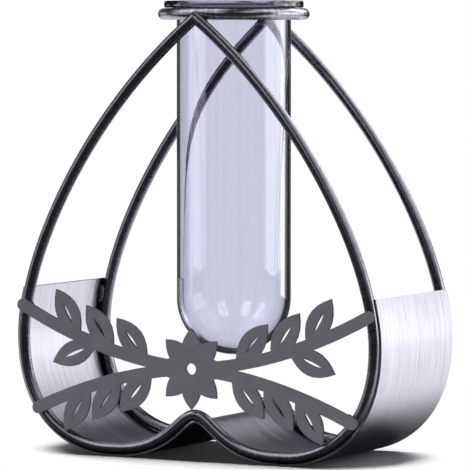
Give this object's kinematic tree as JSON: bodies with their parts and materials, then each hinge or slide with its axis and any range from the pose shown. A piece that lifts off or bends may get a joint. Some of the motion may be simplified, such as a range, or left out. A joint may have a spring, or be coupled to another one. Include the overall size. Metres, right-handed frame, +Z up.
{
  "type": "tube vase with wire stand",
  "caption": "Clear glass tube hung by its rim in a wire stand of upside-down hearts joined by a ring and a brushed band, with a leafy cut-out across the front.",
  "frame": {"origin": "on the floor under the tube's axis", "axes": "+Z up along the tube, +X to the right along the hearts, -Y towards the front ornament"},
  "size_m": [0.1068, 0.0467, 0.119],
  "materials": {
    "glass": "clear",
    "rod": "dark polished steel",
    "band": "brushed along its length",
    "ornament": "matte grey coat",
    "weld": "ground weld bead"
  },
  "bodies": {
    "stand": {"front_heart_wire": "rod", "rear_heart_wire": "rod", "support_ring": "rod", "base_band": "band", "front_ornament": "ornament", "front_apex_weld": "weld", "rear_apex_weld": "weld", "band_end_weld_front_right": "weld", "band_foot_weld_front_right": "weld", "band_end_weld_front_left": "weld", "band_foot_weld_front_left": "weld", "band_end_weld_rear_right": "weld", "band_foot_weld_rear_right": "weld", "band_end_weld_rear_left": "weld", "band_foot_weld_rear_left": "weld", "ornament_weld_upper_right": "weld", "ornament_weld_lower_right": "weld", "ornament_weld_upper_left": "weld", "ornament_weld_lower_left": "weld"},
    "tube": {"glass_tube": "glass"}
  },
  "joints": [
    {"name": "tube_lift", "type": "slide", "parent": "stand", "child": "tube", "axis": [0, 0, 1], "range_m": [0, 0.1]}
  ]
}
